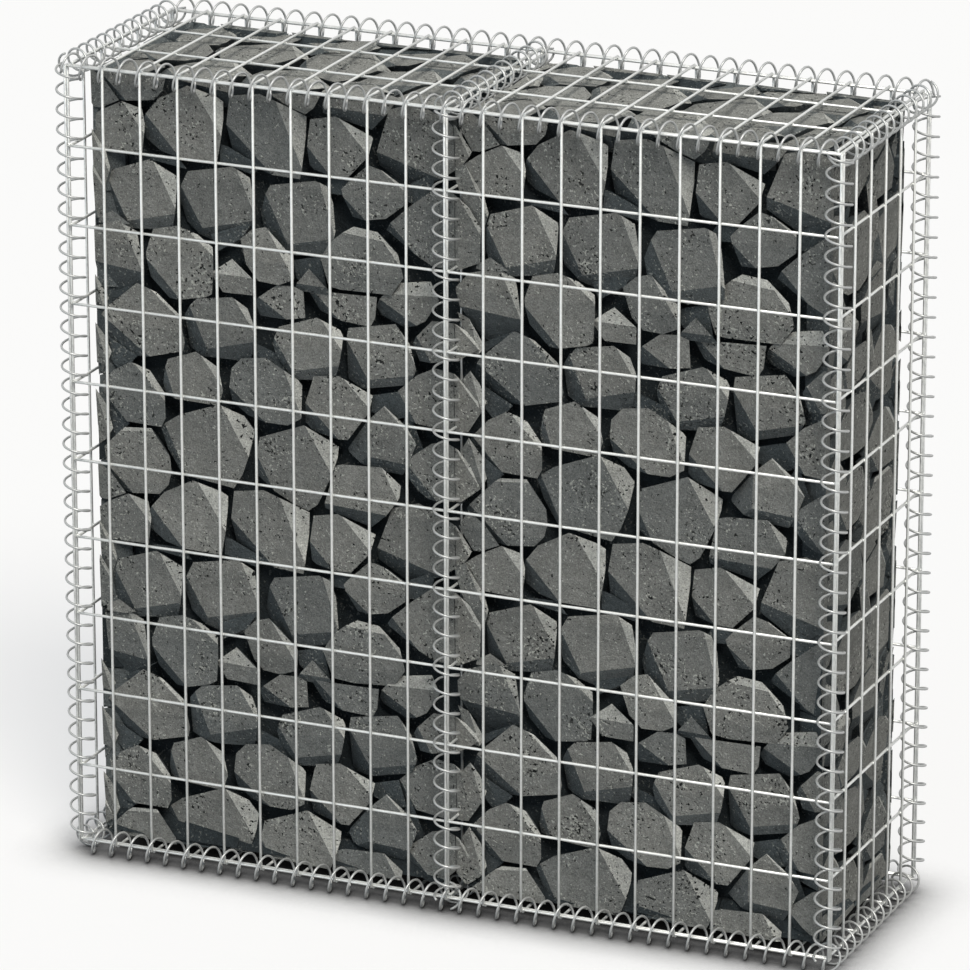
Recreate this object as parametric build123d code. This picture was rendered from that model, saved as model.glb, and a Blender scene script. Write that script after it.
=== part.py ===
from build123d import *
import math
import os

# Basket, measured between the centres of its outermost wires
wall_length = 1000.0
wall_depth = 300.0
wall_height = 1000.0

# Welded mesh: fine wires run up the walls and from front to back in the lid and base,
# coarse wires cross them on the inner side
fine_pitch = 50.0
coarse_pitch = 100.0
mesh_wire = 3.5

# Binding spirals, left-handed, of three-sided bar drawn as short flats
spiral_outer = 34.0
spiral_wire = 3.0
turns_per_cell = 2
flats_per_turn = 8
spiral_seat_clearance = 0.3
spiral_end_clearance = 1.0

# Stone fill, one mass for each of the two bays
fill_clearance = 1.0

half_length = wall_length / 2
half_depth = wall_depth / 2
half_wire = mesh_wire / 2
spiral_reach = spiral_outer / 2

# The bottom spirals stand on the ground and carry the base wires at this level
base_level = spiral_reach
lid_level = base_level + wall_height

# Panels nest in two wire layers, so an edge that fits inside another panel stands in by both
nest_inset = 2 * mesh_wire

# Spirals turn about the line between the edge wires that they lace together
lacing_x = half_length - mesh_wire
lacing_y = half_depth - mesh_wire


def spread(span, count):
    """Places at the ends of a span about zero and evenly between them."""
    return [span * (index / count - 1 / 2) for index in range(count + 1)]


def nested(places, inset):
    """The same places with the first and the last moved in by the inset."""
    return [places[0] + inset, *places[1:-1], places[-1] - inset]


def cells(span, pitch):
    """The whole number of cells, at least one, that comes nearest to the pitch."""
    return max(1, round(span / pitch))


# Mesh stations: uprights along the wall, uprights through its depth, level wires up its height
columns = 2 * cells(half_length, fine_pitch)
ranks = cells(wall_depth, fine_pitch)
lines = cells(wall_depth, coarse_pitch)
rows = cells(wall_height, coarse_pitch)
column_places = spread(wall_length, columns)
rank_places = spread(wall_depth, ranks)
line_places = [rank_places[round(index * ranks / lines)] for index in range(lines + 1)]
row_places = [wall_height / 2 + place for place in spread(wall_height, rows)]


def mesh_panel(fine_places, coarse_places):
    """A welded panel facing local +Z: fine bars along Y, coarse bars along X one layer behind them."""
    left = fine_places[0] - half_wire
    right = fine_places[-1] + half_wire
    low = coarse_places[0] - half_wire
    high = coarse_places[-1] + half_wire
    fine_bar = Box(mesh_wire, high - low, mesh_wire)
    coarse_bar = Box(right - left, mesh_wire, mesh_wire)
    fine_bars = [Pos(place, (low + high) / 2, 0) * fine_bar for place in fine_places]
    coarse_bars = [Pos((left + right) / 2, place, -mesh_wire) * coarse_bar for place in coarse_places]
    return Part() + fine_bars + coarse_bars


def binding_spiral(low, high, pitch, shift):
    """A left-handed spiral along local Z, of three-sided bar, that faces local +X at the shift."""
    corner_stretch = 1 / math.cos(math.pi / flats_per_turn)
    outer = spiral_reach * corner_stretch
    inner = (spiral_reach - spiral_wire) * corner_stretch
    corners = [(outer, -spiral_wire / 2), (outer, spiral_wire / 2), (inner, 0)]
    first = math.ceil(flats_per_turn * (low - shift) / pitch - 1 / 2)
    last = math.floor(flats_per_turn * (high - shift) / pitch - 1 / 2)
    sections = []
    for index in range(first, last + 1):
        turned = (index + 1 / 2) / flats_per_turn
        across = math.cos(2 * math.pi * turned)
        along = -math.sin(2 * math.pi * turned)
        rise = shift + pitch * turned
        sections.append([(radius * across, radius * along, rise + side) for radius, side in corners])
    polygons = [sections[0], sections[-1]]
    for below, above in zip(sections, sections[1:]):
        polygons.append([below[0], above[0], above[1], below[1]])
        polygons.append([below[1], above[1], above[2]])
        polygons.append([below[1], above[2], below[2]])
        polygons.append([below[2], above[2], above[0]])
        polygons.append([below[2], above[0], below[0]])
    return Solid(Shell([Face(Wire.make_polygon(points)) for points in polygons]))


def seat(pitch, wire_offset):
    """How far along the spiral its bar stands from a crossing wire, offset from the spiral's axis."""
    flat_reach = spiral_reach * math.tan(math.pi / flats_per_turn)
    lean = pitch / flats_per_turn / 2 * (wire_offset + half_wire) / flat_reach
    return half_wire + spiral_wire / 2 + lean + spiral_seat_clearance


def stone_fill(toward):
    """One bay's stone as a mass from base wires to lid wires, cut back by the middle spirals."""
    clear_of_spiral = spiral_reach + fill_clearance
    near = mesh_wire + half_wire + fill_clearance
    far = lacing_x - clear_of_spiral
    floor = base_level + half_wire
    top = lid_level - half_wire - fill_clearance
    slope_sum = math.sqrt(2) * clear_of_spiral
    outline = [
        (toward * (slope_sum - half_wire), floor),
        (toward * far, floor),
        (toward * far, top),
        (toward * (slope_sum - lid_level + top), top),
        (toward * near, lid_level - slope_sum + near),
        (toward * near, base_level + slope_sum - near),
    ]
    profile = Plane.XZ * make_face(Polyline(*outline, close=True))
    return extrude(profile, lacing_y - clear_of_spiral, both=True)


def facing(outward, across, place):
    """Local Z to the outward direction and local X to the other, at a place."""
    return Plane(origin=place, x_dir=across, z_dir=outward).location


left, right = (-1, 0, 0), (1, 0, 0)
front, back = (0, -1, 0), (0, 1, 0)
down, up = (0, 0, -1), (0, 0, 1)

long_panel = mesh_panel(column_places, row_places)
end_panel = mesh_panel(nested(rank_places, nest_inset), row_places)
divider_panel = mesh_panel(nested(rank_places, nest_inset), nested(row_places, mesh_wire))
flat_panel = mesh_panel(nested(column_places, nest_inset), nested(line_places, nest_inset))

nodes = {
    "front_mesh_panel": facing(front, right, (0, -half_depth, base_level)) * long_panel,
    "back_mesh_panel": facing(back, left, (0, half_depth, base_level)) * long_panel,
    "left_mesh_panel": facing(left, front, (-half_length, 0, base_level)) * end_panel,
    "right_mesh_panel": facing(right, back, (half_length, 0, base_level)) * end_panel,
    "divider_mesh_panel": facing(left, front, (0, 0, base_level)) * divider_panel,
    "lid_mesh_panel": facing(up, right, (0, 0, lid_level + mesh_wire)) * flat_panel,
    "base_mesh_panel": facing(down, right, (0, 0, base_level - mesh_wire)) * flat_panel,
    "left_stone_fill": stone_fill(-1),
    "right_stone_fill": stone_fill(1),
}

# Every turn keeps step with the mesh, so that a spiral can lie against each wire that it crosses
long_pitch = wall_length / columns / turns_per_cell
deep_pitch = wall_depth / ranks / turns_per_cell
row_gap = wall_height / rows
tall_pitch = row_gap / (turns_per_cell * cells(row_gap, fine_pitch))

# Spirals along the wall stop at the far edge wire of the lid; the others stop short of them
passing_room = spiral_reach + spiral_wire / 2 + spiral_end_clearance
long_stop = half_length - nest_inset - half_wire - spiral_wire / 2 - spiral_seat_clearance
deep_stop = lacing_y - passing_room
tall_stop = wall_height / 2 - passing_room

# A spiral along the wall lies against the uprights, one through its depth against the lid or base,
# an upright one on the level wires of the long panel, or of the end panel at two of the corners
long_shift = long_pitch / 4 - seat(long_pitch, mesh_wire) - half_length
deep_shift = deep_pitch / 4 - seat(deep_pitch, 0) - half_depth
tall_shift = tall_pitch / 4 - seat(tall_pitch, 0) - wall_height / 2
corner_shift = tall_pitch / 2 - seat(tall_pitch, 0) - wall_height / 2
long_spiral = binding_spiral(-half_length, long_stop, long_pitch, long_shift)
deep_spiral = binding_spiral(-deep_stop, deep_stop, deep_pitch, deep_shift)
tall_spiral = binding_spiral(-tall_stop, tall_stop, tall_pitch, tall_shift)
corner_spiral = binding_spiral(-tall_stop, tall_stop, tall_pitch, corner_shift)

mid_level = (base_level + lid_level) / 2
placed_spirals = {
    "top_front_spiral": (long_spiral, right, front, (0, -lacing_y, lid_level)),
    "top_back_spiral": (long_spiral, left, back, (0, lacing_y, lid_level)),
    "top_left_spiral": (deep_spiral, back, up, (-lacing_x, 0, lid_level)),
    "top_middle_spiral": (deep_spiral, back, up, (0, 0, lid_level)),
    "top_right_spiral": (deep_spiral, front, up, (lacing_x, 0, lid_level)),
    "bottom_front_spiral": (long_spiral, left, front, (0, -lacing_y, base_level)),
    "bottom_back_spiral": (long_spiral, right, back, (0, lacing_y, base_level)),
    "bottom_left_spiral": (deep_spiral, front, down, (-lacing_x, 0, base_level)),
    "bottom_middle_spiral": (deep_spiral, back, down, (0, 0, base_level)),
    "bottom_right_spiral": (deep_spiral, back, down, (lacing_x, 0, base_level)),
    "front_left_spiral": (corner_spiral, down, front, (-lacing_x, -lacing_y, mid_level)),
    "front_middle_spiral": (tall_spiral, down, front, (0, -lacing_y, mid_level)),
    "front_right_spiral": (tall_spiral, down, front, (lacing_x, -lacing_y, mid_level)),
    "back_left_spiral": (tall_spiral, down, back, (-lacing_x, lacing_y, mid_level)),
    "back_middle_spiral": (tall_spiral, down, back, (0, lacing_y, mid_level)),
    "back_right_spiral": (corner_spiral, down, back, (lacing_x, lacing_y, mid_level)),
}
for name, (spiral, along, outward, place) in placed_spirals.items():
    nodes[name] = facing(along, outward, place) * spiral

os.makedirs("parts", exist_ok=True)
for name, shape in nodes.items():
    export_step(shape, f"parts/{name}.step", write_pcurves=False)
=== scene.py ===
import itertools

import bpy
import numpy as np
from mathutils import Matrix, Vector


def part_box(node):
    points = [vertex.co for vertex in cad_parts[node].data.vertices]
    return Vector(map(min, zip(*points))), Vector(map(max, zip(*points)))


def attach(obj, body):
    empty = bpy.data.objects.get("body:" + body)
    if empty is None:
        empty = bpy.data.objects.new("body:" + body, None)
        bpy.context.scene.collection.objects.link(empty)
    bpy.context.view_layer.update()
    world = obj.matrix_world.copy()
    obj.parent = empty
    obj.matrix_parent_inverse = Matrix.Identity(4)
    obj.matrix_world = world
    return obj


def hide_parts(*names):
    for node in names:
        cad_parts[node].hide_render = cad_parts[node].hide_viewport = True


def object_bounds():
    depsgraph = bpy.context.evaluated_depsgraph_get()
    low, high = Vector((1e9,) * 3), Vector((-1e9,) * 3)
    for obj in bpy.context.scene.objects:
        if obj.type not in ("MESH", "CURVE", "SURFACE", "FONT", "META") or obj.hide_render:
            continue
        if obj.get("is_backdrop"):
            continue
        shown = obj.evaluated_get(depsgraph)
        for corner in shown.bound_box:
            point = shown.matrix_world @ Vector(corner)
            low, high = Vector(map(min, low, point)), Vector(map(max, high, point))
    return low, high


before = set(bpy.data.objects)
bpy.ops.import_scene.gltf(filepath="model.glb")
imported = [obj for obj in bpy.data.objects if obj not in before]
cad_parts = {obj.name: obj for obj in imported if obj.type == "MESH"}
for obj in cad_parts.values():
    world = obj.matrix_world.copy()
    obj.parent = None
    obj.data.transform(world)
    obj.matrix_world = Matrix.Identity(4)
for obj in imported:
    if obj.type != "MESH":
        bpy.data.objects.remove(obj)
cad_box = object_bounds()

bl_info = {
    "name": "Gabion wall looks",
    "version": (1, 0, 0),
    "blender": (4, 5, 0),
    "location": "3D View > Sidebar > Gabion",
    "description": "Dresses the gabion wall in round zinc-coated wire and split stone",
    "category": "Object",
}

MM = 0.001
X, Y, Z = np.eye(3)

# Sizes of the basket that its packed panels give, in millimetres: the two wire layers of the front
# panel give the wire, its outermost wires give the length, and so on
front_low, front_high = (np.array(corner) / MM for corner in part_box("front_mesh_panel"))
back_high = np.array(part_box("back_mesh_panel")[1]) / MM
spiral_low, spiral_high = (np.array(corner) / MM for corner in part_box("front_middle_spiral"))
WIRE = float(front_high[1] - front_low[1]) / 2
HALF_LENGTH = float(front_high[0]) - WIRE / 2
HALF_DEPTH = float(back_high[1]) - WIRE / 2
BASE_LEVEL = float(front_low[2]) + WIRE / 2
LID_LEVEL = float(front_high[2]) - WIRE / 2
MIDDLE_LEVEL = (BASE_LEVEL + LID_LEVEL) / 2
HALF_HEIGHT = (LID_LEVEL - BASE_LEVEL) / 2
SPIRAL_REACH = float(spiral_high[0] - spiral_low[0]) / 2

# Panels nest in two wire layers, and a spiral turns about the line between the edge wires that it laces
NEST_INSET = 2 * WIRE
LACING_X = HALF_LENGTH - WIRE
LACING_Y = HALF_DEPTH - WIRE

# Gaps that the solids keep too: a spiral's turn off the wire that it lies against, the stones off a spiral
SEAT_GAP = 0.3
FILL_GAP = 1.0

# The cut end of a wire is drawn in to a share of its radius, over a share of its diameter
END_WIDTH = 0.7
END_TRIM = 0.15

# A weld bead's depth as a share of its width, and the grid that it is drawn on
BEAD_DEPTH = 0.75
BEAD_SIDES = 8
BEAD_LATITUDES = np.radians([28, 68, 112, 152])

# How a facing stone is split: the slope of its front and how far that varies, how far the angle of a
# facet varies, the share of it that a facet turned down has, the slopes of the flanks, and the share of
# the full depth that the stone reaches in
FRONT_SLOPE = -0.055
FRONT_SPREAD = 0.03
FACET_SPREAD = 0.09
DOWN_FACET = 0.8
FLANK_SLOPES = (0.5, 0.7)
DEPTH_SHARES = (0.88, 1.0)

# How the faces meet, in millimetres: at an edge the stones of one face run past the mitre, those of the
# other stay short of it, and both stop just short of the next face
MITRE_OVERLAP = 14.0
MITRE_GAP = 5.0
FACE_GAP = 1.0

# What is set back, in millimetres: small wedged stones and the stones under the lid. The core of a bay,
# painted dark as the shade deep in the fill, lies a share of a stone's depth behind its faces.
WEDGE_SET_BACK = 10.0
LID_SET_BACK = 3.0
CORE_SHARE = 0.45

# Edge stones, in millimetres: their lengths, the least length of the last one, how far they reach in, how
# far behind the two faces they stand, how much less so on a side that shows, and how far their row stops
# short of the faces at its ends. Their cuts lean by a slope, and there are draws enough for any edge.
EDGE_LENGTHS = (35, 85)
EDGE_LAST = 30
EDGE_DEPTH = 36
EDGE_SET_BACKS = (5.0, 8.0)
EDGE_SHOWN = 4.5
EDGE_END = 10
EDGE_LEAN = 0.12
EDGE_DRAWS = 40

# Limits for a stone: the thinnest one that is kept and the distance at which two corners count as one, in
# millimetres, and what counts as nothing
THINNEST_STONE = 7
SAME_PLACE = 0.05
NOTHING = 1e-4

# Tones are shares of the stone's colour, and paint light and shade. A facet is painted paler the more it
# turns up and to the right, toward the light, and one that turns the other way is painted darker. Cuts that
# lie deep in a joint, the flanks, the wedges and edge stones set back in the gaps and the core are painted
# dark as the shade there, cuts level with the next face are not, and the stones on top are painted paler
# as lit from above. The spread from stone to stone is their own.
LIT_SIDE = np.array([0.6, 0.8])
LIT_FACET_TONE = 0.95
SHADE_TONE = 0.55
SHADED_FLANK_TONE = 0.4
SHADED_CUT_TONE = 0.22
LEVEL_CUT_TONE = 0.95
STONE_TONES = (0.84, 1.14)
SHADED_WEDGE_TONE = 0.38
LIT_LID_TONE = 1.15
SHADED_EDGE_TONES = (0.14, 0.35, 0.55)
SHADED_CORE_TONE = 0.16

# One tile of the stone face, 500 mm each way, that the packer lays side by side on every face of the
# fill, and the columns and rows of tiles that cover the largest face
TILE = 500.0
TILE_COLUMNS = range(-2, 2)
TILE_ROWS = range(-1, 3)

# For each face of a bay, which way is up on it, and its turn at an edge: stones of the lower number run
# past those of the higher
FACES = {"end": (Z, 2), "front": (Z, 0), "back": (Z, 0), "lid": (Y, 1), "base": (-Y, 1)}

# The outlines are as seen along a line of sight that drifts this far left and down for each millimetre
# inwards
SIGHT = np.array([0.43, 0.36])

# The stones of the tile. Each is its outline seen from outside, corner by corner clockwise in millimetres,
# and the creases where its flat face breaks off to a slanting facet, each as two points on one line.
STONES = (
    (((398, 433), (423, 489), (457, 498), (505, 476), (527, 446), (518, 432), (476, 399), (442, 396)),
     ((398, 434, 480, 411), (503, 477, 520, 441))),
    (((17, 432), (40, 447), (64, 458), (92, 453), (96, 430), (92, 397), (40, 395), (22, 407)),
     ((66, 457, 90, 428), (20, 424, 40, 396))),
    (((97, 448), (115, 468), (153, 487), (190, 479), (201, 473), (200, 443), (192, 396), (138, 396),
      (98, 420)),
     ((160, 486, 194, 430), (98, 444, 138, 397))),
    (((203, 450), (210, 482), (250, 487), (311, 467), (309, 430), (302, 388), (255, 387), (206, 417)),
     ((270, 480, 294, 420), (203, 446, 250, 402))),
    (((310, 432), (316, 464), (348, 470), (400, 450), (390, 424), (367, 397), (340, 395), (309, 414)),
     ((352, 469, 391, 428), (310, 430, 340, 398))),
    (((43, 352), (50, 373), (103, 389), (137, 373), (138, 362), (135, 333), (128, 312), (73, 305), (50, 318)),
     ((106, 388, 132, 338), (45, 357, 71, 307), (71, 309, 133, 326))),
    (((144, 368), (153, 382), (213, 392), (235, 382), (240, 353), (239, 330), (217, 303), (187, 298),
      (148, 320)),
     ((217, 391, 237, 338), (147, 352, 170, 308), (170, 311, 239, 330))),
    (((253, 362), (263, 377), (323, 387), (337, 383), (345, 363), (348, 327), (343, 308), (300, 297),
      (256, 310)),
     ((327, 386, 344, 322), (255, 364, 282, 305), (283, 304, 346, 319))),
    (((355, 382), (373, 400), (392, 415), (410, 410), (438, 393), (438, 370), (420, 354), (367, 339),
      (359, 365)),
     ((359, 371, 388, 346), (408, 410, 437, 390))),
    (((418, 347), (457, 380), (475, 393), (500, 394), (523, 377), (538, 353), (537, 311), (510, 297),
      (478, 297), (457, 307), (424, 327)),
     ((506, 392, 537, 346), (421, 345, 456, 308))),
    (((4, 277), (23, 297), (58, 307), (83, 297), (87, 270), (90, 245), (50, 215), (11, 246)),
     ((62, 306, 84, 256), (5, 254, 90, 247))),
    (((94, 276), (105, 303), (137, 310), (163, 303), (185, 288), (185, 263), (183, 231), (150, 222),
      (138, 214), (107, 242), (94, 257)),
     ((150, 306, 184, 278), (96, 262, 139, 217))),
    (((182, 254), (208, 279), (238, 254), (238, 234), (197, 232)),
     ((183, 256, 238, 256),)),
    (((220, 303), (238, 318), (255, 322), (293, 287), (292, 260), (275, 251), (247, 251), (230, 268)),
     ((262, 312, 290, 266),)),
    (((249, 237), (270, 251), (292, 252), (305, 247), (307, 218), (277, 210), (257, 201), (248, 205)),
     ((252, 228, 283, 209),)),
    (((291, 253), (313, 276), (337, 253)),
     ((291, 256, 337, 256),)),
    (((318, 251), (402, 251), (400, 226), (394, 214), (350, 215), (326, 232)),
     ((318, 249, 352, 216),)),
    (((327, 293), (343, 317), (370, 337), (403, 333), (430, 308), (437, 280), (423, 258), (373, 253),
      (338, 256)),
     ((400, 335, 434, 292), (360, 327, 414, 323))),
    (((405, 250), (423, 253), (447, 277), (473, 280), (483, 257), (467, 230), (453, 221), (410, 233)),
     ((408, 248, 452, 223), (424, 258, 480, 262))),
    (((25, 177), (43, 200), (82, 231), (107, 223), (138, 198), (145, 163), (143, 152), (97, 138), (80, 136),
      (43, 157)),
     ((97, 227, 137, 192), (36, 182, 94, 140))),
    (((153, 213), (163, 222), (210, 228), (230, 217), (238, 197), (237, 173), (228, 155), (177, 155),
      (152, 160)),
     ((212, 227, 236, 190), (155, 203, 174, 156), (173, 158, 236, 176))),
    (((267, 190), (272, 200), (323, 216), (353, 205), (358, 195), (352, 162), (347, 148), (295, 140),
      (271, 163)),
     ((327, 215, 355, 180), (269, 177, 292, 141), (292, 145, 352, 160))),
    (((360, 193), (364, 210), (427, 220), (445, 198), (453, 167), (450, 157), (393, 140), (354, 150)),
     ((430, 217, 451, 172), (360, 195, 391, 142), (391, 146, 451, 161))),
    (((453, 210), (475, 231), (503, 231), (527, 220), (536, 203), (513, 187), (475, 177), (463, 174)),
     ((505, 230, 533, 203), (455, 206, 472, 177))),
    (((24, 93), (53, 120), (72, 129), (97, 122), (117, 95), (118, 63), (113, 52), (67, 49), (40, 70)),
     ((75, 128, 108, 95), (27, 92, 66, 51))),
    (((116, 126), (122, 140), (160, 153), (190, 137), (196, 107), (190, 88), (130, 88), (122, 95)),
     ((165, 151, 194, 112), (117, 130, 129, 90))),
    (((202, 107), (208, 140), (222, 153), (254, 157), (297, 134), (303, 127), (300, 85), (285, 75), (250, 73),
      (216, 94)),
     ((277, 146, 297, 95), (202, 115, 250, 77))),
    (((305, 107), (318, 142), (350, 146), (397, 127), (390, 104), (363, 66), (353, 65), (323, 73), (305, 90)),
     ((355, 145, 391, 110), (305, 107, 345, 70))),
    (((365, 57), (378, 87), (412, 115), (440, 93), (453, 73), (442, 43), (437, 38), (407, 38), (373, 47)),
     ((412, 113, 446, 80), (388, 92, 386, 46), (386, 49, 443, 46))),
    (((427, 137), (457, 162), (478, 172), (503, 168), (533, 145), (537, 122), (522, 97), (507, 95), (450, 97),
      (438, 103)),
     ((503, 167, 535, 130), (430, 135, 453, 98))),
    (((23, 10), (45, 27), (65, 45), (98, 47), (123, 13), (125, -5), (121, -22), (110, -35), (73, -42),
      (43, -27), (25, -4)),
     ((26, 2, 72, -40), (58, 39, 99, 44))),
    (((116, 57), (140, 72), (190, 89), (223, 80), (238, 62), (234, 40), (222, 5), (210, -15), (150, -10),
      (124, 25)),
     ((193, 88, 229, 26), (116, 55, 143, -5))),
    (((247, 57), (280, 69), (303, 77), (333, 64), (351, 57), (347, 33), (335, 5), (323, -20), (310, -32),
      (293, -27), (257, -10), (232, 8)),
     ((305, 77, 339, 18), (238, 35, 262, -14))),
    (((346, 32), (357, 35), (407, 37), (433, 17), (430, 0), (405, -36), (390, -37), (353, -23), (330, -17)),
     ((333, -19, 408, -21), (407, 37, 424, 6))),
    (((438, 43), (450, 60), (475, 77), (492, 80), (508, 73), (525, 53), (537, 27), (515, 8), (485, 3),
      (460, 15)),
     ((502, 77, 533, 32), (440, 46, 478, 5))),
    (((8, 478), (22, 497), (42, 473), (62, 459), (38, 447), (26, 447)),
     ()),
    (((2, 424), (17, 430), (42, 394), (48, 373), (42, 352), (28, 340)),
     ((17, 430, 42, 372),)),
    (((33, 310), (50, 319), (74, 305), (58, 301), (30, 301)),
     ()),
    (((8, 246), (22, 240), (44, 206), (34, 196), (24, 198)),
     ((22, 240, 34, 198),)),
    (((10, 160), (24, 174), (36, 160), (46, 138), (38, 122), (18, 122)),
     ((24, 172, 38, 124),)),
    (((12, 75), (22, 90), (38, 70), (46, 40), (37, 27), (24, 40)),
     ((22, 88, 38, 32),)),
)

# Small stones wedged in the wide gaps of the tile, set back behind the others
WEDGES = (
    ((40, 213), (82, 232), (44, 199)),
    ((42, 158), (80, 138), (72, 128), (53, 118), (42, 130)),
    ((40, 70), (68, 50), (46, 27)),
    ((96, 398), (138, 398), (150, 384), (104, 388)),
    ((196, 420), (206, 418), (250, 398), (240, 386), (214, 391), (194, 396)),
    ((344, 372), (356, 384), (366, 398), (340, 396), (336, 384)),
    ((436, 372), (458, 382), (474, 398), (444, 398)),
    ((184, 290), (222, 304), (216, 318), (190, 300)),
    ((292, 286), (328, 294), (336, 256), (312, 274), (294, 262)),
    ((236, 176), (270, 164), (290, 142), (255, 158), (230, 158)),
    ((395, 128), (428, 136), (438, 104), (414, 114), (392, 106)),
    ((436, 44), (452, 72), (450, 98), (438, 100), (454, 60)),
)


def linear(colour):
    """The linear colour, with alpha, of an sRGB hex value."""
    shares = [int(colour[place:place + 2], 16) / 255 for place in (1, 3, 5)]
    return tuple(s / 12.92 if s <= 0.04045 else ((s + 0.055) / 1.055) ** 2.4 for s in shares) + (1.0,)


def add_node(tree, kind, settings=None, links=None):
    """Adds a shader node. Settings are attributes or input values, and links are what feeds its inputs."""
    node = tree.nodes.new(kind)
    for key, value in (settings or {}).items():
        if isinstance(key, str) and hasattr(node, key):
            setattr(node, key, value)
        else:
            node.inputs[key].default_value = value
    for key, source in (links or {}).items():
        tree.links.new(source, node.inputs[key])
    return node


class WireSettings(bpy.types.PropertyGroup):
    """Sizes and colour of the welded mesh."""
    diameter: bpy.props.FloatProperty(
        name="Wire diameter", description="Thickness of the mesh wire", default=WIRE * MM, unit="LENGTH")
    fine_pitch: bpy.props.FloatProperty(
        name="Fine pitch", description="Spacing of the outer wires", default=50 * MM, unit="LENGTH")
    coarse_pitch: bpy.props.FloatProperty(
        name="Coarse pitch", description="Spacing of the inner cross wires", default=100 * MM, unit="LENGTH")
    weld: bpy.props.FloatProperty(
        name="Weld size", description="Width of the weld bead at a crossing", default=4.4 * MM, unit="LENGTH")
    sides: bpy.props.IntProperty(
        name="Sides", description="Flats round the wire", default=10, min=3)
    bright: bpy.props.FloatVectorProperty(
        name="Zinc", description="Colour of the clean zinc coat", default=linear("#e2e4e2"),
        subtype="COLOR", size=4)


class SpiralSettings(bpy.types.PropertyGroup):
    """Sizes and colour of the binding spirals."""
    diameter: bpy.props.FloatProperty(
        name="Wire diameter", description="Thickness of the spiral wire", default=3.0 * MM, unit="LENGTH")
    pitch: bpy.props.FloatProperty(
        name="Pitch", description="Length of one turn", default=25 * MM, unit="LENGTH")
    steps: bpy.props.IntProperty(
        name="Steps", description="Stations in one turn", default=24, min=8)
    sides: bpy.props.IntProperty(
        name="Sides", description="Flats round the wire", default=8, min=3)
    # The spirals' zinc is painted a darker grey than the mesh wire's, as painted shade for the coils' darker
    # look against the white floor
    bright: bpy.props.FloatVectorProperty(
        name="Zinc", description="Colour of the clean zinc coat", default=linear("#acaeae"),
        subtype="COLOR", size=4)


class StoneSettings(bpy.types.PropertyGroup):
    """Sizes and colours of the stone fill."""
    depth: bpy.props.FloatProperty(
        name="Stone depth", description="How far a facing stone reaches in", default=64 * MM, unit="LENGTH")
    joint: bpy.props.FloatProperty(
        name="Joint", description="Taken off each side of a stone", default=0.4 * MM, unit="LENGTH")
    underside: bpy.props.FloatProperty(
        name="Underside", description="How far an underside runs on behind the next stone",
        default=9 * MM, unit="LENGTH")
    rough_setting: bpy.props.FloatProperty(
        name="Rough setting", description="How unevenly the stones stand in the face",
        default=4 * MM, unit="LENGTH")
    facet_angle: bpy.props.FloatProperty(
        name="Facet angle", description="Slope of the facets", default=np.radians(27), subtype="ANGLE")
    arris: bpy.props.FloatProperty(
        name="Arris", description="Width of the worn edge", default=1.3 * MM, unit="LENGTH")
    arris_angle: bpy.props.FloatProperty(
        name="Arris angle", description="Sharpest turn between two faces that doesn't wear",
        default=np.radians(18), subtype="ANGLE")
    seed: bpy.props.IntProperty(name="Seed", description="Which set of stones", default=7)
    body: bpy.props.FloatVectorProperty(
        name="Basalt", description="Colour of the split stone", default=linear("#7d7e7b"),
        subtype="COLOR", size=4)
    # Painted highlight: the edges are painted paler, as lit along the arrises
    arris_highlight: bpy.props.FloatVectorProperty(
        name="Arris highlight", description="Paler colour painted on the edges as a highlight", default=linear("#949694"),
        subtype="COLOR", size=4)


class StageSettings(bpy.types.PropertyGroup):
    """Camera and floor."""
    target: bpy.props.FloatVectorProperty(
        name="Target", description="Point in the middle of the view", default=(-0.0127, 0.0, 0.503),
        subtype="TRANSLATION")
    azimuth: bpy.props.FloatProperty(
        name="Azimuth", description="How far round to the right the camera stands",
        default=np.radians(23.404), subtype="ANGLE")
    elevation: bpy.props.FloatProperty(
        name="Elevation", description="How high the camera looks down from",
        default=np.radians(18.488), subtype="ANGLE")
    distance: bpy.props.FloatProperty(
        name="Distance", description="Camera to target", default=8.4729, unit="LENGTH")
    lens: bpy.props.FloatProperty(
        name="Lens", description="Focal length in millimetres", default=257.4, unit="CAMERA")
    floor: bpy.props.FloatVectorProperty(
        name="Floor", description="Colour of the floor", default=linear("#f8f8f8"), subtype="COLOR", size=4)


def new_piece(name, points, faces, material, node, smooth):
    """A mesh object from points in millimetres and faces, in place of a CAD node."""
    mesh = bpy.data.meshes.new(name)
    mesh.from_pydata((np.asarray(points) * MM).tolist(), [], faces)
    mesh.polygons.foreach_set("use_smooth", np.full(len(mesh.polygons), smooth))
    mesh.materials.append(material)
    piece = bpy.data.objects.new(name, mesh)
    bpy.context.scene.collection.objects.link(piece)
    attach(piece, "root")
    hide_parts(node)
    return piece


def tube_faces(count, rings, sides):
    """Faces of equal tubes whose points are laid out tube, ring, side: quads along and a cap on each end."""
    ring, side = np.meshgrid(np.arange(rings - 1), np.arange(sides), indexing="ij")
    after = (side + 1) % sides
    near, far = ring * sides, (ring + 1) * sides
    quads = np.stack([near + side, near + after, far + after, far + side], -1)
    starts = np.arange(count)[:, None] * rings * sides
    quads = (starts[..., None] + quads.reshape(1, -1, 4)).reshape(-1, 4)
    low = starts + np.arange(sides)[::-1]
    high = starts + (rings - 1) * sides + np.arange(sides)
    return quads.tolist() + low.tolist() + high.tolist()


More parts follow.
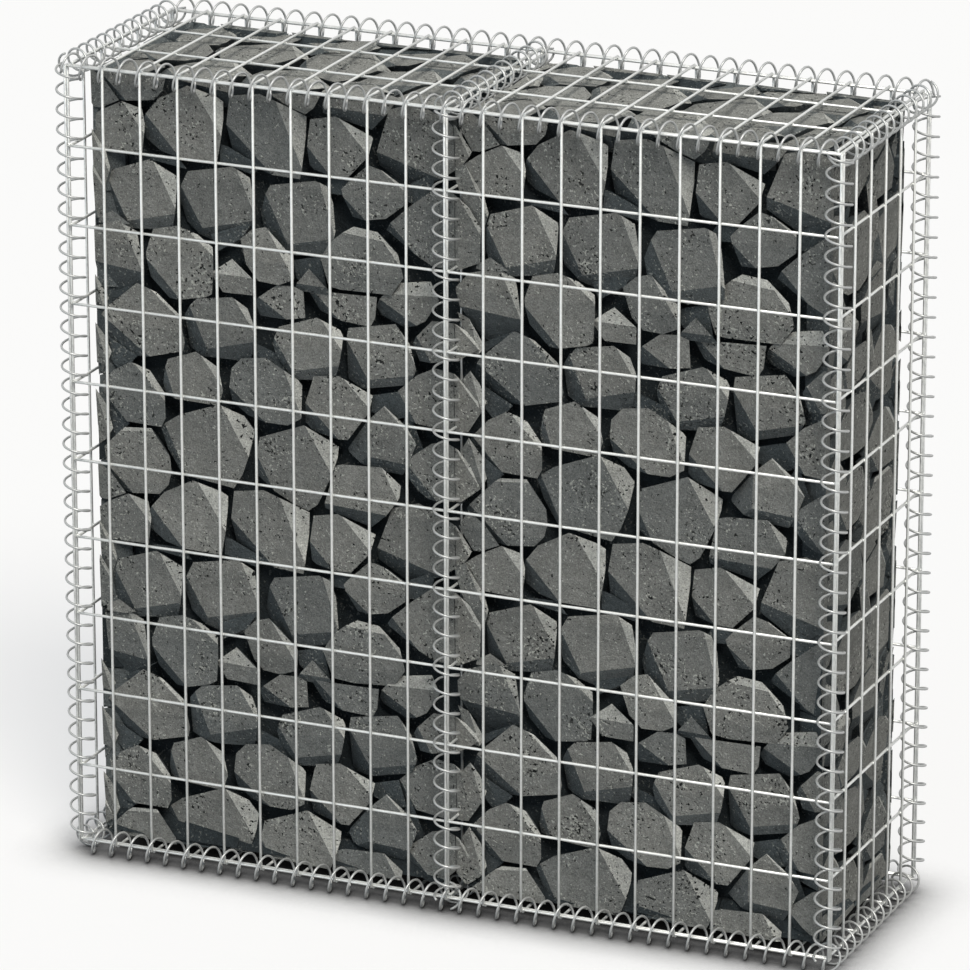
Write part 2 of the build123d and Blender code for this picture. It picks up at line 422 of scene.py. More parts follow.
def straight_wires(starts, ends, across, diameter, sides):
    """Round straight wires: a circle carried from start to end, drawn in a little at both cut ends.

    A point is start + share * (end - start) + radius * (cos(turn) * across + sin(turn) * other), where
    other stands square to the run and to across, and the radius drops to a share of itself at the ends.
    """
    run = ends - starts
    length = np.linalg.norm(run, axis=1, keepdims=True)
    heading = run / length
    other = np.cross(heading, across)
    trim = END_TRIM * diameter / length
    shares = np.concatenate([0 * trim, trim, 1 - trim, 1 + 0 * trim], axis=1)
    radii = diameter / 2 * np.array([END_WIDTH, 1, 1, END_WIDTH])
    turn = 2 * np.pi * np.arange(sides) / sides
    circle = np.cos(turn)[:, None] * across + np.sin(turn)[:, None] * other[:, None, :]
    middle = starts[:, None, :] + shares[..., None] * run[:, None, :]
    points = middle[:, :, None, :] + radii[None, :, None, None] * circle[:, None, :, :]
    return points.reshape(-1, 3), tube_faces(len(starts), len(radii), sides)


def weld_beads(places, wide, deep, normal):
    """Weld beads: a flattened ball round each place, as a grid over latitude and turn, flat ends closed.

    A point is place + wide/2 * sin(latitude) * (cos(turn) * side + sin(turn) * other)
    - deep/2 * cos(latitude) * normal, where side and other are square to the normal.
    """
    side = np.cross(normal, X if abs(normal[0]) < 0.5 else Y)
    other = np.cross(normal, side)
    turn = 2 * np.pi * np.arange(BEAD_SIDES) / BEAD_SIDES
    round_it = np.cos(turn)[:, None] * side + np.sin(turn)[:, None] * other
    bead = (wide / 2 * np.sin(BEAD_LATITUDES)[:, None, None] * round_it
            - deep / 2 * np.cos(BEAD_LATITUDES)[:, None, None] * normal)
    points = places[:, None, None, :] + bead[None]
    return points.reshape(-1, 3), tube_faces(len(places), len(BEAD_LATITUDES), BEAD_SIDES)


def joined(*parts):
    """Several (points, faces) pairs as one."""
    points, faces, count = [], [], 0
    for some_points, some_faces in parts:
        points.append(some_points)
        faces += [[index + count for index in face] for face in some_faces]
        count += len(some_points)
    return np.concatenate(points), faces


def spread(half_span, pitch, inset=0.0):
    """Places from end to end of a span, a pitch apart, with the outermost two moved in by the inset."""
    count = round(2 * half_span / pitch)
    places = np.linspace(-half_span, half_span, count + 1)
    places[[0, -1]] += inset, -inset
    return places


def mesh_panel(fine_places, coarse_places, outward, across, place, settings):
    """A welded panel: fine wires one way in the outer layer, and coarse wires square to them one layer in."""
    wire, weld = settings.diameter / MM, settings.weld / MM
    along = np.cross(outward, across)
    half = wire / 2
    ends = np.array([coarse_places[0] - half, coarse_places[-1] + half])
    sides = np.array([fine_places[0] - half, fine_places[-1] + half])
    fine = place + fine_places[:, None] * across
    coarse = place + coarse_places[:, None] * along - wire * outward
    crossing = fine[:, None] + coarse_places[None, :, None] * along - half * outward
    return joined(
        straight_wires(fine + ends[0] * along, fine + ends[1] * along, outward, wire, settings.sides),
        straight_wires(coarse + sides[0] * across, coarse + sides[1] * across, outward, wire, settings.sides),
        weld_beads(crossing.reshape(-1, 3), weld, BEAD_DEPTH * weld, outward),
    )


def seat(wire, pitch, offset):
    """How far along a spiral its wire stands from a wire that it lies against, so far off its axis."""
    lean = pitch / (2 * np.pi) * np.arcsin((offset + WIRE / 2) / SPIRAL_REACH)
    return (WIRE + wire) / 2 + lean + SEAT_GAP


def spiral_tube(low, high, shift, along, outward, place, settings):
    """A left-handed spiral: a circle carried along a helix about the lacing line.

    At axial place a the helix has turned (a - shift) / pitch times and stands at
    place + a * along + radius * (cos * outward - sin * side). The circle is spanned by the direction
    away from the axis and the one square to it and to the run of the wire.
    """
    wire, pitch = settings.diameter / MM, settings.pitch / MM
    radius = SPIRAL_REACH - wire / 2
    side = np.cross(along, outward)
    rings = int(round((high - low) / pitch * settings.steps)) + 1
    axial = np.linspace(low, high, rings)
    turned = 2 * np.pi * (axial - shift) / pitch
    away = np.cos(turned)[:, None] * outward - np.sin(turned)[:, None] * side
    round_it = -np.sin(turned)[:, None] * outward - np.cos(turned)[:, None] * side
    run = pitch * along + 2 * np.pi * radius * round_it
    run /= np.linalg.norm(run, axis=1, keepdims=True)
    square = np.cross(run, away)
    middle = place + axial[:, None] * along + radius * away
    turn = 2 * np.pi * np.arange(settings.sides) / settings.sides
    circle = np.cos(turn)[None, :, None] * away[:, None, :] + np.sin(turn)[None, :, None] * square[:, None, :]
    points = middle[:, None, :] + wire / 2 * circle
    return points.reshape(-1, 3), tube_faces(1, rings, settings.sides)


def closed_stone(normals, offsets):
    """The solid behind a set of planes.

    Its corners are where three planes meet with no plane passed, and each face is the corners on one plane
    in order round its normal. Gives the corners, the faces and the plane of each face, or None if too
    little is left.
    """
    triples = np.array(list(itertools.combinations(range(len(normals)), 3)))
    rows = normals[triples]
    meets = np.abs(np.linalg.det(rows)) > NOTHING
    corners = np.linalg.solve(rows[meets], offsets[triples[meets]][..., None])[..., 0]
    corners = corners[(corners @ normals.T <= offsets + NOTHING).all(axis=1)]
    if len(corners) < 4 or np.ptp(corners, axis=0).min() < THINNEST_STONE:
        return None
    near = np.linalg.norm(corners[:, None] - corners[None], axis=2) < SAME_PLACE
    corners = corners[np.unique(near.argmax(axis=1))]
    faces, planes = [], []
    for plane, (normal, offset) in enumerate(zip(normals, offsets)):
        on = np.flatnonzero(np.abs(corners @ normal - offset) < SAME_PLACE)
        if len(on) < 3:
            continue
        spokes = corners[on] - corners[on].mean(axis=0)
        start = spokes[0] / np.linalg.norm(spokes[0])
        faces.append(on[np.argsort(np.arctan2(spokes @ np.cross(normal, start), spokes @ start))].tolist())
        planes.append(plane)
    return corners, faces, planes


def facing_stone(outline, creases, set_back, corner, window, axes, settings, random):
    """One stone of a face: its outline carried inwards and tapered, a flat front, and slanting facets.

    In the face's own directions (right, up, out) the stone is what lies behind its front, behind each
    outline edge leaning in by its taper, behind each facet that falls away from its crease, in front of
    its back. The foremost point of what shows in the window of the face lies near the face. Gives the
    planes' directions, how far out each one lies and the share of the stone's colour on each, which paints
    light and shade: paler on facets turned up and right, darker on those turned away and on the flanks.
    """
    outline = np.array(outline, float) + corner
    centre = outline.mean(axis=0)
    inset = set_back + random.uniform(0, settings.rough_setting / MM)
    lean = random.normal(FRONT_SLOPE, FRONT_SPREAD, 2)
    starts = np.array(creases, float).reshape(-1, 2, 2) + corner
    across = starts[:, 1] - starts[:, 0]
    falls = np.stack([-across[:, 1], across[:, 0]], -1) / np.linalg.norm(across, axis=1)[:, None]
    falls *= np.sign((falls * (starts[:, 0] - centre)).sum(axis=1))[:, None]

    # The flat front ends at the outline, within a millimetre, or at the creases
    past = ((outline[:, None] - starts[None, :, 0]) * falls).sum(axis=2).max(axis=1, initial=-np.inf)
    flat = np.concatenate([outline[past < 1], starts.reshape(-1, 2)])
    rim = (np.clip(flat, *window) @ lean).min()

    # The front, then the facets, each sloping on from the front at its crease
    normals = [np.array([lean[0], lean[1], 1.0])]
    offsets = [rim - inset]
    tones, rises = [1.0], [0.0]
    for start, fall in zip(starts[:, 0], falls):
        rise = fall @ LIT_SIDE
        rises.append(rise)
        share = 1.0 if rise > 0 else DOWN_FACET
        slope = settings.facet_angle * share + random.uniform(-FACET_SPREAD, FACET_SPREAD)
        depth = (rim - inset - lean @ start) / (1 + lean @ SIGHT)
        normals.append(np.array([*lean + np.tan(slope) * fall, 1.0]))
        offsets.append(normals[-1] @ np.array([*start + depth * SIGHT, depth]))
        # Painted light and shade: a facet turned up and right, toward the light, is painted paler, one turned
        # away darker
        tones.append(1 + rise * (LIT_FACET_TONE if rise > 0 else SHADE_TONE))

    # The flanks, each through its outline edge as deep as the line of sight meets the front or a facet
    # there. An underside runs on a little below the edge that shows, behind the next stone.
    surface = np.array(normals)
    steps = np.roll(outline, -1, axis=0) - outline
    middles = outline + steps / 2
    drift = 1 + surface[:, :2] @ SIGHT
    levels = (np.array(offsets)[:, None] - surface[:, :2] @ middles.T) / drift[:, None]
    turned_down = np.array(rises)[levels.argmin(axis=0)] < 0
    runs = np.where(turned_down, settings.underside / MM, -settings.joint / MM)
    tapers = random.uniform(*FLANK_SLOPES, len(steps))
    for step, depth, run, taper in zip(steps, levels.min(axis=0), runs, tapers):
        edge = np.array([-step[1], step[0]]) / np.linalg.norm(step)
        normals.append(np.array([*edge, -taper]))
        offsets.append((outline @ edge).max() + depth * (SIGHT @ edge) + run - taper * depth)
    normals.append(np.array([0, 0, -1.0]))
    offsets.append(settings.depth / MM * random.uniform(*DEPTH_SHARES))
    # The flanks and the back are painted dark, as the shade in the joints
    tones += [SHADED_FLANK_TONE] * (len(outline) + 1)
    normals = np.array(normals)
    lengths = np.linalg.norm(normals, axis=1)
    return normals / lengths[:, None] @ np.array(axes), np.array(offsets) / lengths, np.array(tones)


def edge_stones(sides, always, random):
    """Wedge stones stacked along every outer edge of a bay, behind both faces, to fill the gaps there.

    Each is what lies behind two planes that slope away from the edge, one for each face, in front of two
    backs, and between two cuts across the run of the edge. The run stops short of the faces at its ends.
    """
    planes = [*sides.values(), always[0]]
    for (one, one_reach), (two, two_reach) in itertools.combinations(sides.values(), 2):
        if abs(one @ two) > 0.5:
            continue
        low_edge, lid_edge = two[2] < -0.5, two[2] > 0.5
        along = np.cross(one, two)
        top = next(reach for out, reach in planes if out @ along > 0.5)
        bottom = -next(reach for out, reach in planes if out @ along < -0.5)
        cuts = bottom + np.cumsum(random.uniform(*EDGE_LENGTHS, EDGE_DRAWS))
        marks = [bottom, *cuts[cuts < top - EDGE_LAST], top]
        for low, high in zip(marks, marks[1:]):
            back, forth = random.uniform(*EDGE_SET_BACKS, 2)
            if lid_edge:
                forth -= EDGE_SHOWN
            elif not low_edge:
                back -= EDGE_SHOWN
            lean = random.normal(0, EDGE_LEAN, 2)
            bounds = [
                (one - two / 2, one_reach - back - (two_reach - forth) / 2),
                (two - one / 2, two_reach - forth - (one_reach - back) / 2),
                (-one, EDGE_DEPTH - one_reach),
                (-two, EDGE_DEPTH - two_reach),
                (along + lean[0] * one, high + lean[0] * one_reach),
                (-along + lean[1] * two, lean[1] * two_reach - low),
                (along, top - EDGE_END),
                (-along, -bottom - EDGE_END),
                *always,
            ]
            normals, reaches = (np.array(values) for values in zip(*bounds))
            lengths = np.linalg.norm(normals, axis=1)
            stone = closed_stone(normals / lengths[:, None], reaches / lengths)
            if stone:
                corners, faces, _ = stone
                # The edge stones are painted dark as the shade in the gaps, darkest along the low edges
                tone_and_shading = SHADED_EDGE_TONES[0] if low_edge else random.choice(SHADED_EDGE_TONES)
                yield corners, faces, [tone_and_shading] * len(faces)


def bay_planes(toward, joint):
    """Where the stones of a bay end.

    Gives the way each face looks and how far out it lies, the planes that every stone stays behind, which
    are the middle of the divider and the slopes off the middle spirals, and the box of both bays.
    """
    low = np.array(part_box("left_stone_fill")[0]) / MM
    high = np.array(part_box("right_stone_fill")[1]) / MM
    outer = high[0] if toward > 0 else -low[0]
    inner = toward * np.mean(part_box("divider_mesh_panel"), axis=0)[0] / MM + joint
    clear = np.sqrt(2) * (SPIRAL_REACH + FILL_GAP)
    sides = {
        "end": (toward * X, outer),
        "front": (-Y, high[1]),
        "back": (Y, high[1]),
        "lid": (Z, high[2] - LID_SET_BACK),
        "base": (-Z, -low[2]),
    }
    always = [
        (-toward * X, -inner),
        ((Z - toward * X) / np.sqrt(2), (LID_LEVEL - clear) / np.sqrt(2)),
        ((-Z - toward * X) / np.sqrt(2), (-BASE_LEVEL - clear) / np.sqrt(2)),
    ]
    return sides, always, np.array([low, high])


def face_stones(name, sides, always, box, settings):
    """The stones of one face of a bay: the tile laid side by side, and cut where the faces meet.

    Neighbouring faces share their edge on a mitre, which the stones of the long faces run past, then those
    of the lid and base, and which the ends keep clear of. A stone that lies across the divider has a half
    in each bay, so every stone is drawn from a seed of its own that both bays share. The stones on top are
    painted paler, as lit from above, and the wedges set back in the gaps darker, as in shade.
    """
    out, reach = sides[name]
    up, turn = FACES[name]
    axes = (np.cross(up, out), up, out)
    # Cuts that lie deep in a joint are painted dark, as the shade there
    limits = [(*plane, SHADED_CUT_TONE) for plane in always]
    for other, (other_out, other_reach) in sides.items():
        if abs(out @ other_out) < 0.5:
            past = MITRE_OVERLAP if turn < FACES[other][1] else -MITRE_GAP
            mitre = (other_out - out) / np.sqrt(2), (other_reach - reach + past) / np.sqrt(2)
            limits.append((*mitre, SHADED_CUT_TONE))
            limits.append((other_out, other_reach - FACE_GAP, LEVEL_CUT_TONE))
    edges, reaches, cut_tones = (np.array(values) for values in zip(*limits))
    window = np.sort(np.array([box @ axes[0], box @ axes[1]]), axis=1).T
    origin = (0, BASE_LEVEL * up[2])
    number = list(sides).index(name)
    stones = [(*stone, 0.0) for stone in STONES] + [(wedge, (), WEDGE_SET_BACK) for wedge in WEDGES]
    for column, row in itertools.product(TILE_COLUMNS, TILE_ROWS):
        corner = TILE * np.array([column, row]) + origin
        tile = (settings.seed, number, column - TILE_COLUMNS.start, row - TILE_ROWS.start)
        for index, (outline, creases, set_back) in enumerate(stones):
            seen = (np.array(outline) + corner) @ np.array(axes[:2]) + reach * out
            if (seen @ edges.T > reaches).all(axis=0).any():
                continue
            random = np.random.default_rng([*tile, index])
            normals, offsets, tones = facing_stone(
                outline, creases, set_back, corner, window, axes, settings, random)
            offsets += normals @ (reach * out)
            stone = closed_stone(np.concatenate([normals, edges]), np.concatenate([offsets, reaches]))
            if stone:
                corners, faces, planes = stone
                # Painted shade darkens the wedges set back in the gaps, and painted light makes the stones on
                # top paler
                share = SHADED_WEDGE_TONE if set_back else LIT_LID_TONE if name == "lid" else 1.0
                tones = np.concatenate([tones, cut_tones]) * (random.uniform(*STONE_TONES) * share)
                yield corners, faces, tones[planes].tolist()


def bay_stones(toward, settings):
    """Points, faces and face tones of one bay: the stones of its faces and edges, and a core painted dark as
    shade.
    """
    sides, always, box = bay_planes(toward, settings.joint / MM)
    stones = [stone for name in sides for stone in face_stones(name, sides, always, box, settings)]
    stones += edge_stones(sides, always, np.random.default_rng(settings.seed + toward))
    heart = CORE_SHARE * settings.depth / MM
    planes = [(out, reach - heart) for out, reach in sides.values()] + always
    corners, faces, _ = closed_stone(*(np.array(values) for values in zip(*planes)))
    # The core is painted dark, as the shade deep in the fill
    stones.append((corners, faces, [SHADED_CORE_TONE] * len(faces)))
    points, faces = joined(*(stone[:2] for stone in stones))
    return points, faces, [tone_and_shading for stone in stones for tone_and_shading in stone[2]]


class GABION_OT_mesh_panels(bpy.types.Operator):
    """Makes the welded panels of round wire"""
    bl_idname = "gabion.mesh_panels"
    bl_label = "Weld the mesh panels"

    def execute(self, context):
        settings = context.scene.gabion_wire
        fine, coarse = settings.fine_pitch / MM, settings.coarse_pitch / MM
        columns = spread(HALF_LENGTH, fine)
        ranks = spread(HALF_DEPTH, fine, NEST_INSET)
        rows = spread(HALF_HEIGHT, coarse)
        inner_rows = spread(HALF_HEIGHT, coarse, WIRE)
        lid_columns = spread(HALF_LENGTH, fine, NEST_INSET)
        lines = spread(HALF_DEPTH, coarse, NEST_INSET)
        middle = MIDDLE_LEVEL * Z
        material = zinc_wire("Hot-dip galvanised mesh wire", settings.bright, spangle=3.0, film=0.2)
        panels = {
            "front": (columns, rows, -Y, X, -HALF_DEPTH * Y + middle),
            "back": (columns, rows, Y, -X, HALF_DEPTH * Y + middle),
            "left": (ranks, rows, -X, -Y, -HALF_LENGTH * X + middle),
            "right": (ranks, rows, X, Y, HALF_LENGTH * X + middle),
            "divider": (ranks, inner_rows, -X, -Y, middle),
            "lid": (lid_columns, lines, Z, X, (LID_LEVEL + WIRE) * Z),
            "base": (lid_columns, lines, -Z, X, (BASE_LEVEL - WIRE) * Z),
        }
        for name, panel in panels.items():
            points, faces = mesh_panel(*panel, settings)
            node = f"{name}_mesh_panel"
            new_piece(f"{name}_welded_wires", points, faces, material, node, True)
        return {"FINISHED"}


class GABION_OT_spirals(bpy.types.Operator):
    """Winds the binding spirals along the edges"""
    bl_idname = "gabion.spirals"
    bl_label = "Wind the spirals"

    def execute(self, context):
        settings = context.scene.gabion_spiral
        material = zinc_wire("Zinc-coated coiled spring wire", settings.bright, spangle=2.5, film=0.4)
        wire, pitch = settings.diameter / MM, settings.pitch / MM
        on_axis, off_axis = seat(wire, pitch, 0), seat(wire, pitch, WIRE)

        # Where each spiral starts and ends along its line, and where it faces outward. Those along the
        # wall stop at the lid's last wire. The others run on into the corners and tangle there with the
        # next ones.
        long = (-HALF_LENGTH, HALF_LENGTH - NEST_INSET - on_axis, pitch / 4 - off_axis - HALF_LENGTH)
        deep = (-LACING_Y, LACING_Y, pitch / 4 - on_axis - HALF_DEPTH)
        tall = (-HALF_HEIGHT, HALF_HEIGHT, pitch / 4 - on_axis - HALF_HEIGHT)
        corner = (-HALF_HEIGHT, HALF_HEIGHT, pitch / 2 - on_axis - HALF_HEIGHT)
        spirals = {
            "top_front": (long, X, -Y, (0, -LACING_Y, LID_LEVEL)),
            "top_back": (long, -X, Y, (0, LACING_Y, LID_LEVEL)),
            "top_left": (deep, Y, Z, (-LACING_X, 0, LID_LEVEL)),
            "top_middle": (deep, Y, Z, (0, 0, LID_LEVEL)),
            "top_right": (deep, -Y, Z, (LACING_X, 0, LID_LEVEL)),
            "bottom_front": (long, -X, -Y, (0, -LACING_Y, BASE_LEVEL)),
            "bottom_back": (long, X, Y, (0, LACING_Y, BASE_LEVEL)),
            "bottom_left": (deep, -Y, -Z, (-LACING_X, 0, BASE_LEVEL)),
            "bottom_middle": (deep, Y, -Z, (0, 0, BASE_LEVEL)),
            "bottom_right": (deep, Y, -Z, (LACING_X, 0, BASE_LEVEL)),
            "front_left": (corner, -Z, -Y, (-LACING_X, -LACING_Y, MIDDLE_LEVEL)),
            "front_middle": (tall, -Z, -Y, (0, -LACING_Y, MIDDLE_LEVEL)),
            "front_right": (tall, -Z, -Y, (LACING_X, -LACING_Y, MIDDLE_LEVEL)),
            "back_left": (tall, -Z, Y, (-LACING_X, LACING_Y, MIDDLE_LEVEL)),
            "back_middle": (tall, -Z, Y, (0, LACING_Y, MIDDLE_LEVEL)),
            "back_right": (corner, -Z, Y, (LACING_X, LACING_Y, MIDDLE_LEVEL)),
        }
        for name, (span, along, outward, place) in spirals.items():
            points, faces = spiral_tube(*span, along, outward, np.array(place), settings)
            new_piece(f"{name}_coil", points, faces, material, f"{name}_spiral", True)
        return {"FINISHED"}


class GABION_OT_stones(bpy.types.Operator):
    """Packs the stones of both bays"""
    bl_idname = "gabion.stones"
    bl_label = "Pack the stones"

    def execute(self, context):
        settings = context.scene.gabion_stone
        material = split_basalt("Split basalt", settings.body)
        arris = split_basalt("Basalt arris painted as highlight", settings.arris_highlight)
        for bay, toward in (("left", -1), ("right", 1)):
            points, faces, tones = bay_stones(toward, settings)
            fill = new_piece(f"{bay}_stones", points, faces, material, f"{bay}_stone_fill", False)
            # Each face carries its share of the colour: its own spread, and the painted light and shade
            tone_and_shading = fill.data.attributes.new("tone_and_shading", "FLOAT", "FACE")
            tone_and_shading.data.foreach_set("value", tones)
            # The bevelled edges take a second, paler material: a painted highlight along the arrises
            fill.data.materials.append(arris)
            arris_highlight = fill.modifiers.new("Arrises painted as highlight", "BEVEL")
            arris_highlight.width = settings.arris
            arris_highlight.segments = 1
            arris_highlight.limit_method = "ANGLE"
            arris_highlight.angle_limit = settings.arris_angle
            arris_highlight.material = 1
        return {"FINISHED"}


class GABION_OT_stage(bpy.types.Operator):
    """Sets the floor, light and camera"""
    bl_idname = "gabion.stage"
    bl_label = "Set the stage"

    def execute(self, context):
        settings = context.scene.gabion_stage
        scene = context.scene
        scene.view_settings.view_transform = "Standard"

        # The floor is so wide that its edges lie out of sight, in metres
        half = 40.0
        mesh = bpy.data.meshes.new("floor")
        corners = [(-half, -half, 0), (half, -half, 0), (half, half, 0), (-half, half, 0)]
        mesh.from_pydata(corners, [], [(0, 1, 2, 3)])
        mesh.materials.append(pale_floor(settings.floor))
        floor = bpy.data.objects.new("floor", mesh)
        scene.collection.objects.link(floor)
        floor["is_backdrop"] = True

        # A warm key lamp high on the right and a weak cool fill low on the left, both soft: strength,
        # width in degrees, colour and the direction that the light comes from
        for name, strength, width, colour, away in (
            ("key", 3.3, 24, "#fffaf2", (0.40, -0.47, 0.79)),
            ("fill", 0.6, 60, "#c6dae8", (-0.55, -0.80, 0.25)),
        ):
            sun = bpy.data.lights.new(name, "SUN")
            sun.energy = strength
            sun.angle = np.radians(width)
            sun.color = linear(colour)[:3]
            lamp = bpy.data.objects.new(name, sun)
            aim(lamp, away)
            scene.collection.objects.link(lamp)

        # The studio is white to the eye, and lights the wall with a weaker, cooler glow
        world = bpy.data.worlds.new("studio")
        scene.world = world
        world.use_nodes = True
        tree = world.node_tree
        tree.nodes.clear()
        soft = add_node(tree, "ShaderNodeBackground", {"Color": linear("#dfe8f0"), "Strength": 0.32})
        white = add_node(tree, "ShaderNodeBackground", {"Color": linear("#ffffff"), "Strength": 1.0})
        mix = add_node(tree, "ShaderNodeMixShader", links={
            0: reaches_eye(tree), 1: soft.outputs[0], 2: white.outputs[0]})
        add_node(tree, "ShaderNodeOutputWorld", links={"Surface": mix.outputs[0]})

        lens = bpy.data.cameras.new("camera")
        lens.sensor_width = 36.0
        lens.lens = settings.lens
        lens.clip_end = 200.0
        camera = bpy.data.objects.new("camera", lens)
        level = np.cos(settings.elevation)
        away = np.array([level * np.sin(settings.azimuth), -level * np.cos(settings.azimuth),
                         np.sin(settings.elevation)])
        aim(camera, away)
        camera.location = np.array(settings.target) + settings.distance * away
        scene.collection.objects.link(camera)
        scene.camera = camera
        return {"FINISHED"}


def aim(thing, away):
    """Turns a lamp or camera so that it looks against the direction away."""
    thing.rotation_euler = Vector(away).to_track_quat("Z", "Y").to_euler()


def reaches_eye(tree):
    """The socket that gives 1 to what the eye sees, straight, mirrored or through glass, and 0 to bounced
    light."""
    path = add_node(tree, "ShaderNodeLightPath")
    seen = path.outputs["Is Camera Ray"]
    for ray in ("Is Glossy Ray", "Is Transmission Ray"):
        larger = add_node(tree, "ShaderNodeMath", {"operation": "MAXIMUM"}, {0: seen, 1: path.outputs[ray]})
        seen = larger.outputs[0]
    return seen


def blank_material(name):
    """A new material and its empty node tree."""
    material = bpy.data.materials.new(name)
    material.use_nodes = True
    material.node_tree.nodes.clear()
    return material, material.node_tree


def zinc_wire(name, bright, spangle, film):
    """Drawn steel wire dipped in zinc: light grey, a soft metal gloss, a faint mottle of zinc crystals, and
    a dull film of zinc salts in patches that hides part of the bare metal, so the eye reads plain
    galvanised wire and not chrome. The crystals, given in millimetres, are finer on real wire, and are
    drawn coarser so that they show."""
    material, tree = blank_material(name)
    place = add_node(tree, "ShaderNodeTexCoord").outputs["Object"]
    crystals = add_node(tree, "ShaderNodeTexNoise", {"Scale": 1 / (spangle * MM), "Detail": 3.0},
                        {"Vector": place}).outputs["Fac"]
    patches = add_node(tree, "ShaderNodeTexNoise", {"Scale": 1 / (40 * MM), "Detail": 2.0},
                       {"Vector": place}).outputs["Fac"]
    mottle = add_node(tree, "ShaderNodeMapRange", {"From Min": 0.3, "From Max": 0.7, "To Max": 0.6},
                      {"Value": crystals})
    bloom = add_node(tree, "ShaderNodeMath", {"operation": "MULTIPLY"}, {0: mottle.outputs[0], 1: patches})
    grey = add_node(tree, "ShaderNodeMix", {"data_type": "RGBA", 6: bright, 7: linear("#a4a7a8")},
                    {0: bloom.outputs[0]})
    rough = add_node(tree, "ShaderNodeMapRange", {"To Min": 0.3, "To Max": 0.46}, {"Value": crystals})
    bump = add_node(tree, "ShaderNodeBump", {"Strength": 0.25, "Distance": 0.15 * MM}, {"Height": crystals})
    bare = add_node(tree, "ShaderNodeMapRange",
                    {"From Min": 0.3, "From Max": 0.7, "To Min": 0.95 - film, "To Max": 0.5 - film},
                    {"Value": patches})
    shader = add_node(tree, "ShaderNodeBsdfPrincipled", links={
        "Base Color": grey.outputs[2], "Metallic": bare.outputs[0],
        "Roughness": rough.outputs[0], "Normal": bump.outputs[0]})
    add_node(tree, "ShaderNodeOutputMaterial", links={"Surface": shader.outputs[0]})
    return material


def split_basalt(name, body):
    """Basalt split by hammer: matt dark grey, painted bluer where painted shade darkens it, with a fine
    grain, small pale crystals and dark gas pits a few millimetres across that gather in patches."""
    material, tree = blank_material(name)
    place = add_node(tree, "ShaderNodeTexCoord").outputs["Object"]
    tone_and_shading = add_node(tree, "ShaderNodeAttribute", {"attribute_name": "tone_and_shading"}).outputs["Fac"]

    # Clouds, lumps and grain: size in millimetres, detail, roughness, and how far each lightens and
    # darkens the stone. Real grain is under a millimetre, and is drawn coarser so that it shows.
    factor, noises = tone_and_shading, []
    for size, detail, rough, share in ((30, 5.0, 0.6, 0.12), (9, 4.0, 0.65, 0.14), (2, 3.0, 0.7, 0.4)):
        noise = add_node(tree, "ShaderNodeTexNoise",
                         {"Scale": 1 / (size * MM), "Detail": detail, "Roughness": rough}, {"Vector": place})
        noises.append(noise.outputs["Fac"])
        vary = add_node(tree, "ShaderNodeMapRange",
                        {"From Min": 0.3, "From Max": 0.7, "To Min": 1 - share, "To Max": 1 + share},
                        {"Value": noises[-1]})
        product = add_node(tree, "ShaderNodeMath", {"operation": "MULTIPLY"}, {0: factor, 1: vary.outputs[0]})
        factor = product.outputs[0]
    _, lumps, grain = noises
    # Painted shade: the darker the stone is painted, the bluer, as in cool shade
    blue_shade = add_node(tree, "ShaderNodeMix", {"data_type": "RGBA", 6: linear("#697880"), 7: body}, {0: tone_and_shading})
    colour = add_node(tree, "ShaderNodeVectorMath", {"operation": "SCALE"},
                      {0: blue_shade.outputs[2], "Scale": factor}).outputs[0]
    height = add_node(tree, "ShaderNodeMath", {"operation": "MULTIPLY_ADD", 1: 2.0},
                      {0: lumps, 2: grain}).outputs[0]

    # Crystals and pits are where a noise runs high, more so where the patch noise is high: size in
    # millimetres, where the noise starts to show and shows in full, how far they stand out, and colour
    patch = add_node(tree, "ShaderNodeTexNoise", {"Scale": 1 / (45 * MM), "Detail": 1.0}, {"Vector": place})
    near = add_node(tree, "ShaderNodeMath", {"operation": "MULTIPLY_ADD", 1: 0.3, 2: -0.15},
                    {0: patch.outputs["Fac"]})
    for size, low, high, stand, shade in (
        (3.6, 0.64, 0.685, 0.3, "#b2b4ae"),
        (4.2, 0.655, 0.7, -1.0, "#202222"),
    ):
        spots = add_node(tree, "ShaderNodeTexNoise",
                         {"Scale": 1 / (size * MM), "Detail": 1.5, "Roughness": 0.6}, {"Vector": place})
        lot = add_node(tree, "ShaderNodeMath", {"operation": "ADD"},
                       {0: spots.outputs["Fac"], 1: near.outputs[0]})
        # Crystals and pits fade where the stone is painted dark with shade
        spot = add_node(tree, "ShaderNodeMapRange", {"From Min": low, "From Max": high},
                        {"Value": lot.outputs[0], "To Max": tone_and_shading})
        colour = add_node(tree, "ShaderNodeMix", {"data_type": "RGBA", 7: linear(shade)},
                          {0: spot.outputs[0], 6: colour}).outputs[2]
        height = add_node(tree, "ShaderNodeMath", {"operation": "MULTIPLY_ADD", 1: stand},
                          {0: spot.outputs[0], 2: height}).outputs[0]
        # The pits are drawn from another part of the noise, so that they don't follow the crystals
        place = add_node(tree, "ShaderNodeVectorMath", {"operation": "ADD", 1: (0.37, 0.21, 0.53)},
                         {0: place}).outputs[0]
    bump = add_node(tree, "ShaderNodeBump", {"Strength": 0.8, "Distance": 1.6 * MM}, {"Height": height})
    shader = add_node(tree, "ShaderNodeBsdfPrincipled",
                      {"Roughness": 0.92, "IOR": 1.5, "Specular IOR Level": 0.15},
                      {"Base Color": colour, "Normal": bump.outputs[0]})
    add_node(tree, "ShaderNodeOutputMaterial", links={"Surface": shader.outputs[0]})
    return material


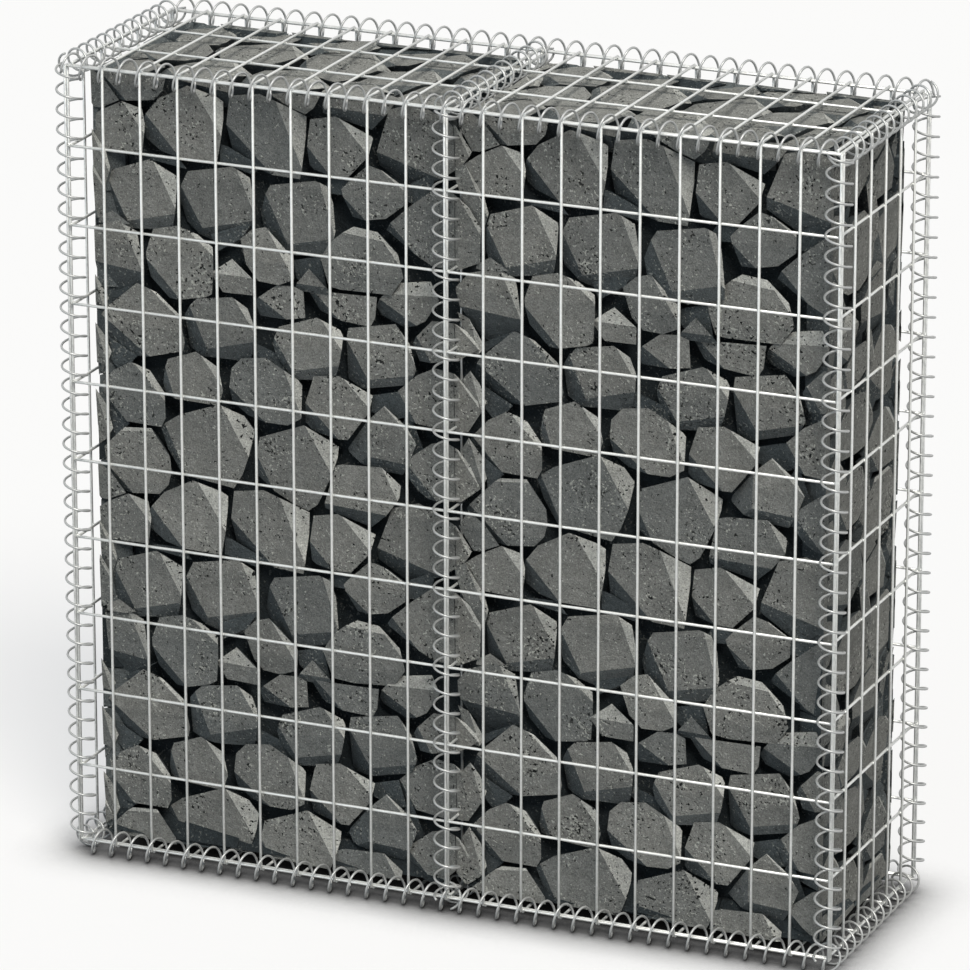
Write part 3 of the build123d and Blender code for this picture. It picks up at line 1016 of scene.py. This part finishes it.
def pale_floor(colour):
    """Matt painted studio floor: white to the camera with the object's shadow on it, darker close under the
    wall where little light comes in, and a darker bounce."""
    material, tree = blank_material("Matt white studio floor")
    near = add_node(tree, "ShaderNodeAmbientOcclusion", {"samples": 16, "Distance": 0.1})
    contact = add_node(tree, "ShaderNodeMath", {"operation": "POWER", 1: 2.3}, {0: near.outputs["AO"]})
    shaded = add_node(tree, "ShaderNodeVectorMath", {"operation": "SCALE", 0: colour[:3]},
                      {"Scale": contact.outputs[0]})
    lit = add_node(tree, "ShaderNodeEmission", links={"Color": shaded.outputs[0]})
    matt = add_node(tree, "ShaderNodeBsdfDiffuse", links={"Color": shaded.outputs[0]})
    pale = add_node(tree, "ShaderNodeMixShader", {0: 0.3}, {1: lit.outputs[0], 2: matt.outputs[0]})
    dim = add_node(tree, "ShaderNodeBsdfDiffuse", {"Color": linear("#8c8c8c")})
    mix = add_node(tree, "ShaderNodeMixShader", links={
        0: reaches_eye(tree), 1: dim.outputs[0], 2: pale.outputs[0]})
    add_node(tree, "ShaderNodeOutputMaterial", links={"Surface": mix.outputs[0]})
    return material


class GABION_PT_sidebar(bpy.types.Panel):
    """Lists the steps that dress the wall"""
    bl_idname = "GABION_PT_sidebar"
    bl_label = "Gabion wall"
    bl_space_type = "VIEW_3D"
    bl_region_type = "UI"
    bl_category = "Gabion"

    def draw(self, context):
        for operator in OPERATORS:
            self.layout.operator(operator.bl_idname)


OPERATORS = (GABION_OT_mesh_panels, GABION_OT_spirals, GABION_OT_stones, GABION_OT_stage)
GROUPS = {
    "gabion_wire": WireSettings,
    "gabion_spiral": SpiralSettings,
    "gabion_stone": StoneSettings,
    "gabion_stage": StageSettings,
}


def register():
    for name, group in GROUPS.items():
        bpy.utils.register_class(group)
        setattr(bpy.types.Scene, name, bpy.props.PointerProperty(type=group))
    for operator in OPERATORS:
        bpy.utils.register_class(operator)
    bpy.utils.register_class(GABION_PT_sidebar)


def unregister():
    bpy.utils.unregister_class(GABION_PT_sidebar)
    for operator in reversed(OPERATORS):
        bpy.utils.unregister_class(operator)
    for name, group in GROUPS.items():
        delattr(bpy.types.Scene, name)
        bpy.utils.unregister_class(group)


def main():
    register()
    bpy.ops.gabion.mesh_panels()
    bpy.ops.gabion.spirals()
    bpy.ops.gabion.stones()
    bpy.ops.gabion.stage()
    boxes = {"cad": cad_box, "visual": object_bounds()}
    {name: [list(corner) for corner in box] for name, box in boxes.items()}


if __name__ == "__main__":
    main()
